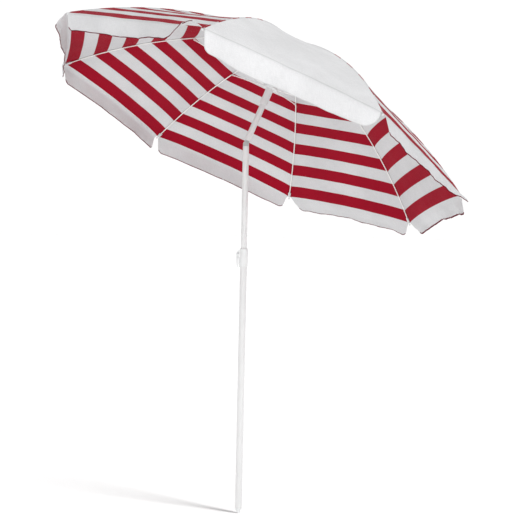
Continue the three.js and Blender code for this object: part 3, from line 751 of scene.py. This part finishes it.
gores = {}
for gi, (pair, az) in enumerate(GORES):
    g = Gore(pair, rad(az), 11 + gi)
    gores[pair] = g
    verts, uvs, rows, NT = rows_of(g)
    faces = []
    for i in range(len(rows) - 1):
        for j in range(NT):
            faces.append([rows[i] + j, rows[i] + j + 1, rows[i + 1] + j + 1, rows[i + 1] + j])
    white = pair == "HG"
    ob = make("canopy_gore_" + pair, verts, faces, M_CAN, "plain" if white else "striped", "gore_" + pair, ["gore_" + pair],
              "plain_cloth" if white else "striped_cloth", smooth_angle=0, uv=uvs)
    add_solidify(ob, 0.0007)
    apply_mods(ob)
    # rim tape where the flap is sewn on, the bound edge of the flap, and their stitches
    wr = 0.0042 + g.shift
    ts = np.linspace(g.flap_t(wr, 0.006), g.flap_t(wr, 0.994), 60)
    pts = [g.flap(wr, t) for t in ts]
    nn = [g.flap_normal(wr, t) for t in ts]
    nn = [n * (1 if np.dot(n, g.out) > 0 or n[2] > 0.3 else -1) for n in nn]
    sd = [np.cross(n, g.chord) for n in nn]
    rim = make("rim_seam_" + pair, *strip_data(pts, nn, sd, 0.0026, 0.0005, 0.0004), M_CAN, "bind_white", "gore_" + pair, slot="plain_cloth")
    # the bound lower edge of the flap, and its two rolled side edges
    def edge_strip(line, half_in, half_out, thick):
        P = [g.flap(w, t) for w, t in line]
        mid = g.flap(0.03, 0.5)
        vv, ff = [], []
        sec = [(half_in, thick), (-half_out * 0.6, thick * 1.1), (-half_out * 0.95, thick * 0.6), (-half_out, 0.0), (-half_out * 0.95, -thick * 0.6), (-half_out * 0.6, -thick * 1.1), (half_in, -thick), (half_in + 0.0003, 0)]
        m = len(sec)
        last = None
        for i, p in enumerate(P):
            tv = P[min(i + 1, len(P) - 1)] - P[max(i - 1, 0)]
            tv /= np.linalg.norm(tv)
            n2 = g.flap_normal(*line[i])
            n2 = n2 - tv * np.dot(n2, tv)
            n2 /= np.linalg.norm(n2)
            s2 = np.cross(n2, tv)
            if last is None:
                if np.dot(mid - p, s2) < 0:
                    s2 = -s2
            elif np.dot(s2, last) < 0:
                s2 = -s2
            last = s2
            for a2, b2 in sec:
                vv.append(p + s2 * a2 + n2 * b2)
        for i in range(len(P) - 1):
            for j in range(m):
                l = (j + 1) % m
                ff.append([i * m + j, i * m + l, (i + 1) * m + l, (i + 1) * m + j])
        ff.append(list(range(m))[::-1])
        ff.append([(len(P) - 1) * m + j for j in range(m)])
        return vv, ff

    cors = [[VALANCE - r + r * math.sin(math.pi / 2 * k / 9) for k in range(2, 10)] for r in g.corner]
    lower = [(w, g.flap_t(w, 0.0)) for w in cors[0]] + [(VALANCE, g.flap_t(VALANCE, x)) for x in np.linspace(0.008, 0.992, 110)] + [(w, g.flap_t(w, 1.0)) for w in cors[1][::-1]]
    hem = make("flap_binding_" + pair, *edge_strip(lower, 0.0042 if pair == "FE" else 0.0016, 0.0011, 0.0009), M_CAN, "bind_white" if white else "bind_red", "gore_" + pair, slot="plain_cloth" if white else "striped_cloth")
    side_ws = [list(np.linspace(0.004, VALANCE - r, 14)) + c[:2] for r, c in zip(g.corner, cors)]
    sides_ = merge(edge_strip([(w, g.flap_t(w, 0.0)) for w in side_ws[0]], 0.0024, 0.0006, 0.0006), edge_strip([(w, g.flap_t(w, 1.0)) for w in side_ws[1]], 0.0024, 0.0006, 0.0006))
    side_hems = make("flap_side_hems_" + pair, *sides_, M_CAN, "bind_white", "gore_" + pair, slot="plain_cloth")
    line2 = [(VALANCE - 0.0042, g.flap_t(VALANCE - 0.0042, x)) for x in np.linspace(0.02, 0.98, 120)]
    hp = [g.flap(*q) for q in line2]
    hn = [g.flap_normal(*q) for q in line2]
    st1 = stitch_data([p + n * 0.0009 for p, n in zip(pts, nn)], nn)
    st2 = stitch_data(hp, [n * 1.0 for n in hn], lift=0.0005)
    st3 = stitch_data(hp, [-n * 1.0 for n in hn], lift=0.0005)
    st = make("flap_stitches_" + pair, *merge(st1, st2, st3), M_CAN, "thread", "gore_" + pair, slot="plain_cloth", flip_check=False)
    cut_area(pair)
    for piece in (ob, rim, hem, side_hems, st):
        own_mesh(piece)

# seam tapes along the ribs, outside and inside, with two rows of stitching
order = [n for n, _ in RIBS]
for k, (letter, az) in enumerate(RIBS):
    gl, gr = gores[GORES[k - 1][0]], gores[GORES[k][0]]     # the gore before and after this rib
    ss = np.concatenate([np.linspace(0.022, 0.1, 6), np.linspace(0.12, ARC - 0.004, 70)])
    for where, half, thick in (("out", 0.0065, 0.0006), ("in", 0.0036, 0.0004)):
        verts, faces, uvs = [], [], []
        lat = [-1, -0.9, -0.5, -0.12, 0.12, 0.5, 0.9, 1]
        sgn = 1 if where == "out" else -1
        n_s = len(ss)
        rows1, rows2 = [], []
        for s in ss:
            w = 2 * seam_r(s) * math.sin(math.pi / 8)
            hw = min(half, w * 0.35)
            a, ph = slope(s), rad(az)
            nr = np.array([math.sin(a) * math.cos(ph), math.sin(a) * math.sin(ph), math.cos(a)])
            base = []
            for q in lat:
                y = q * hw
                if (letter == "H" and y > 0) or (letter == "G" and y < 0):
                    y *= 0.5
                p = gl.panel(s, 1 + y / w) if y < 0 else gr.panel(s, y / w)
                base.append((p, y))
            rows1.append([(p + nr * sgn * (0.0005 if abs(q) < 0.95 else 0.0003), y) for (p, y), q in zip(base, lat)])
            rows2.append([(p + nr * sgn * (0.0005 + thick * (1.0 if abs(q) < 0.95 else 0.3) + (0.0003 if abs(q) < 0.2 and where == "out" else 0)), y) for (p, y), q in zip(base, lat)])
        m = len(lat)
        for rows_ in (rows1, rows2):
            for s, row in zip(ss, rows_):
                for p, y in row:
                    verts.append(p)
                    uvs.append((y, ARC - s + (gl if letter == "H" else gr).shift))
        o = n_s * m
        for i in range(n_s - 1):
            for j in range(m - 1):
                faces.append([i * m + j, i * m + j + 1, (i + 1) * m + j + 1, (i + 1) * m + j])
                faces.append([o + i * m + j, o + (i + 1) * m + j, o + (i + 1) * m + j + 1, o + i * m + j + 1])
            faces.append([i * m, (i + 1) * m, o + (i + 1) * m, o + i * m])
            faces.append([i * m + m - 1, o + i * m + m - 1, o + (i + 1) * m + m - 1, (i + 1) * m + m - 1])
        faces.append([j for j in range(m)] + [o + j for j in range(m - 1, -1, -1)])
        e = (n_s - 1) * m
        faces.append([e + j for j in range(m)] + [o + e + j for j in range(m - 1, -1, -1)])
        plain = False
        make(f"seam_{where}_{letter}", verts, faces, M_CAN, "bind_white" if plain else "striped", "rib_" + letter, slot="plain_cloth" if plain else "striped_cloth", uv=uvs)
    rows_st = []
    ph = rad(az)
    for side in (-1, 1):
        pts, nrs = [], []
        for s in ss[3:]:
            w = 2 * seam_r(s) * math.sin(math.pi / 8)
            y = side * 0.0042
            p = gl.panel(s, 1 + y / w) if y < 0 else gr.panel(s, y / w)
            a = slope(s)
            nrs.append(np.array([math.sin(a) * math.cos(ph), math.sin(a) * math.sin(ph), math.cos(a)]))
            pts.append(p)
        rows_st.append(stitch_data(pts, nrs, lift=0.0012))
    make("seam_stitches_" + letter, *merge(*rows_st), M_CAN, "thread", "rib_" + letter, slot="plain_cloth", flip_check=False)

# ------------------------------------------------------------------ ribs, tips, rivets, stretchers
joint = rib_point(JOIN_S, JOIN_DROP)
EYE_R, EYE_H = 0.020, 0.4205
RUN_R, RUN_H = 0.022, 0.235
for letter, az in RIBS:
    M = M_CAN @ R_Z(az)
    pts = [np.array([EYE_R + 0.005, 0, EYE_H - 0.0006])]
    ctrl = [(0.06, 0.0006)] + [(s, 0.0) for s in np.linspace(0.10, ARC - 0.014, 60)]
    a = pts[0]
    b = rib_point(*ctrl[0])
    for t in np.linspace(0.2, 0.8, 4):
        pts.append(a * (1 - t) + b * t + np.array([0, 0, 0.0004 * math.sin(math.pi * t)]))
    for s, ex in ctrl:
        pts.append(rib_point(s, ex))
    wire = sweep_data(pts, circle(0.002, 20))
    spig = sweep_data([rib_point(s) for s in np.linspace(ARC - 0.016, ARC - 0.001, 5)], circle(0.0012, 14))
    eye = moved(eye_data(0.0035, 0.0013, -0.0012, 0.0012), Matrix.Translation((EYE_R, 0, EYE_H)))
    neck = moved(box_data(0.0028, 0.0078, -0.0012, 0.0012, -0.0021, 0.0012), Matrix.Translation((EYE_R, 0, EYE_H)))
    sl = slope(JOIN_S)
    jp = rib_point(JOIN_S)
    top_z = JOIN_DROP - 0.0012
    lug_out = []
    for k in range(40):
        t = 2 * math.pi * k / 40
        x, z = 0.0030 * math.cos(t), 0.0030 * math.sin(t)
        if z > 0:
            z = z * (top_z / 0.0030)
            x = 0.0030 * (1 if x > 0 else -1) * abs(math.cos(t)) ** 0.35
        lug_out.append((x, z))
    lug = moved(plate_data(lug_out, (0, 0, 0.00115), -0.0012, 0.0012), Matrix.Translation(tuple(joint)) @ Matrix.Rotation(sl, 4, "Y"))
    # the rib wire takes the white coat painted brighter, as painted light on its shaded underside
    make("rib_wire_" + letter, *merge(wire, spig, eye, neck, lug), M, "rib_coat", "rib_" + letter, ["rib_" + letter], "white_coated_steel")
    # ball tip
    tp, at = rib_point(ARC - 0.0136), slope(ARC - 0.006)
    prof = [(0.0015, 0), (0.0021, 0), (0.0023, 0.0003), (0.0023, 0.0128), (0.0021, 0.0142), (0.0021, 0.0153)]
    for k in range(13):
        t = math.pi * (0.20 + 0.80 * k / 12)
        prof.append((max(0.0, 0.0038 * math.sin(t)), 0.0198 - 0.0040 * math.cos(t)))
    prof[-1] = (0.0, prof[-1][1])
    prof += [(0.0, 0.0144), (0.0015, 0.0144), (0.0015, 0)]
    make("tip_ball_" + letter, *lathe_data(prof, 28), M @ Matrix.Translation(tuple(tp)) @ Matrix.Rotation(rad(90) + at, 4, "Y"), "plastic", "rib_" + letter, ["rib_tip_" + letter], "white_plastic")
    # sewn pocket that holds the tip
    pk = []
    for s in np.linspace(ARC - 0.024, ARC - 0.003, 8):
        pk.append(s)
    verts, faces = [], []
    for s in pk:
        c = rib_point(s)
        a = slope(s)
        nr = np.array([math.sin(a), 0, math.cos(a)])
        f = (s - pk[0]) / (pk[-1] - pk[0])
        for j in range(9):
            th = math.pi * j / 8
            w = 0.0062 - 0.001 * f
            y = w * math.cos(th)
            z = -0.0034 * math.sin(th) ** 0.7 * (0.9 + 0.2 * f)
            drop = abs(y) * (0.383 * math.sin(a) + 0.10)
            verts.append(c + np.array([0, y, 0]) + nr * (RIB_DROP - 0.0007 - drop * (1 - math.sin(th)) + z - (0.0028 if 0 < j < 8 else 0.0)))
    for i in range(len(pk) - 1):
        for j in range(8):
            faces.append([i * 9 + j, i * 9 + j + 1, (i + 1) * 9 + j + 1, (i + 1) * 9 + j])
    pocket = make("tip_pocket_" + letter, verts, faces, M, "bind_white", "rib_" + letter, slot="plain_cloth", smooth_angle=0)
    add_solidify(pocket, 0.0005)
    apply_mods(pocket)
    # rivet with domed heads
    prof = [(0, -0.0043), (0.0008, -0.00425), (0.0014, -0.0040), (0.0017, -0.0035), (0.0017, -0.0033), (0.0008, -0.0033), (0.0008, 0.0033), (0.0017, 0.0033), (0.0017, 0.0035), (0.0014, 0.0040), (0.0008, 0.00425), (0, 0.0043)]
    make("rivet_" + letter, *moved(lathe_data(prof, 24), Matrix.Translation(tuple(joint)) @ PIN_Y), M, "steel", "rib_" + letter, ["rib_rivet_" + letter], "bare_steel")
    # stretcher
    d = joint - np.array([RUN_R, 0, RUN_H])
    L, t = math.hypot(d[0], d[2]), math.atan2(d[2], d[0])
    Ms = M @ Matrix.Translation((RUN_R, 0, RUN_H)) @ Matrix.Rotation(-t, 4, "Y")
    xs = np.linspace(0.009, L - 0.012, 24)
    rod = sweep_data([(x, 0, 0) for x in xs], circle(0.0019, 20), scale=[0.75 + 0.25 * min(1, (x - 0.009) / 0.006) for x in xs])
    e0 = eye_data(0.0042, 0.0023, -0.0012, 0.0012)
    nk = box_data(0.0036, 0.0125, -0.0012, 0.0012, -0.0016, 0.0016)
    bridge = box_data(L - 0.0155, L - 0.0092, -0.0029, 0.0029, -0.0022, 0.0022, 0.0006)
    parts = [rod, e0, nk, bridge]
    for y0, y1 in ((0.0016, 0.0029), (-0.0029, -0.0016)):
        out = []
        for k in range(40):
            th = 2 * math.pi * k / 40
            x, z = 0.0026 * math.cos(th), 0.0026 * math.sin(th)
            if x < 0:
                z = math.copysign(min(0.0026, abs(z) + 0.0012 * (1 if abs(z) > 1e-6 else 0)), z) if abs(z) > 1e-6 else 0.0
                z = max(-0.0023, min(0.0023, z)) if x < -0.0008 else z
                x = x * 3.6
            out.append((L + x, z))
        parts.append(plate_data(out, (L, 0, 0.0012), y0, y1))
    # the stretcher takes the white coat painted brighter, as painted light on its shaded underside
    make("strut_" + letter, *merge(*parts), Ms, "rib_coat", "stretcher_" + letter, ["stretcher_" + letter], "white_coated_steel")


# ------------------------------------------------------------------ turned parts
def torus_data(R, r, z, n=96, m=14):
    verts, faces = [], []
    for i in range(n):
        a = 2 * math.pi * i / n
        for j in range(m):
            b = 2 * math.pi * j / m
            verts.append(((R + r * math.cos(b)) * math.cos(a), (R + r * math.cos(b)) * math.sin(a), z + r * math.sin(b)))
    for i in range(n):
        for j in range(m):
            k, l = (i + 1) % n, (j + 1) % m
            faces.append([i * m + j, k * m + j, k * m + l, i * m + l])
    return verts, faces


def tube(ro, ri, z0, z1):
    return fillet([(ri, z0), (ro, z0), (ro, z1), (ri, z1), (ri, z0)], 0.00045, 3)


make("crown_wire", *torus_data(EYE_R, 0.0008, EYE_H), M_CAN, "steel", "canopy_shaft", ["crown_ring"], "bare_steel")
make("runner_wire", *torus_data(RUN_R, 0.0008, RUN_H), M_CAN, "steel", "runner", ["runner_ring"], "bare_steel")
make("ground_point", *lathe_data(fillet([(0, 0), (0.004, 0), (0.0123, 0.019), (0.0125, 0.020), (0.0111, 0.020), (0.0111, 0.052), (0.0095, 0.055), (0, 0.055)], 0.0008), 64), None, "plastic", "lower_pole", ["ground_tip"], "white_plastic")
make("pole_lower", *lathe_data(tube(0.0125, 0.0114, 0.0203, 0.938), 64), None, "coat", "lower_pole", ["lower_tube"], "white_coated_steel")
make("pole_upper", *lathe_data(tube(0.011, 0.0098, 0.700, 1.346), 64), None, "coat", "upper_pole", ["upper_tube"], "white_coated_steel")
make("pole_bush", *lathe_data(fillet([(0.006, 0.695), (0.0108, 0.695), (0.01105, 0.696), (0.01105, 0.6997), (0.0095, 0.6997), (0.0095, 0.722), (0.006, 0.722), (0.006, 0.695)], 0.0003), 48), None, "plastic", "upper_pole", ["upper_tube_bush"], "white_plastic")
make("shaft", *lathe_data(tube(0.011, 0.0098, 0.010, 0.4113), 64), M_CAN, "coat", "canopy_shaft", ["shaft_tube"], "white_coated_steel")
make("cap", *lathe_data(fillet([(0, 0.4125), (0.0055, 0.4125), (0.0055, 0.4306), (0.0195, 0.4284), (0.020, 0.4298), (0.017, 0.4345), (0.010, 0.4380), (0, 0.4395)], 0.0012), 64), M_CAN, "plastic", "canopy_shaft", ["crown_cap"], "white_plastic")
for nm, mat_, M, body, rep, r, h, hr, ht in (
    ("tilt_rivet", "steel", Matrix.Translation((0, 0, PIVOT_Z)), "upper_pole", "tilt_pin", 0.0025, 0.0092, 0.004, 0.0014),
    ("lever_rivet", "steel", R_Z(149.5) @ Matrix.Translation((0.0205, 0, 0.956)), "lower_pole", "clamp_pin", 0.002, 0.0087, 0.0032, 0.0013),
):
    prof = [(0, -h - ht), (hr * 0.5, -h - ht * 0.94), (hr * 0.85, -h - ht * 0.6), (hr, -h - ht * 0.12), (hr, -h), (r, -h), (r, h), (hr, h), (hr, h + ht * 0.12), (hr * 0.85, h + ht * 0.6), (hr * 0.5, h + ht * 0.94), (0, h + ht)]
    make(nm, *moved(lathe_data(prof, 36), PIN_Y), M, mat_, body, [rep], "bare_steel")

# the moulded and cut parts keep the frame's own shape
for n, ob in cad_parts.items():
    if ob.hide_render:
        continue
    mat_ = "plastic"
    if n.startswith("tilt_"):
        mat_ = "cast"
    ob.data.materials.clear()
    ob.data.materials.append(MAT[mat_])
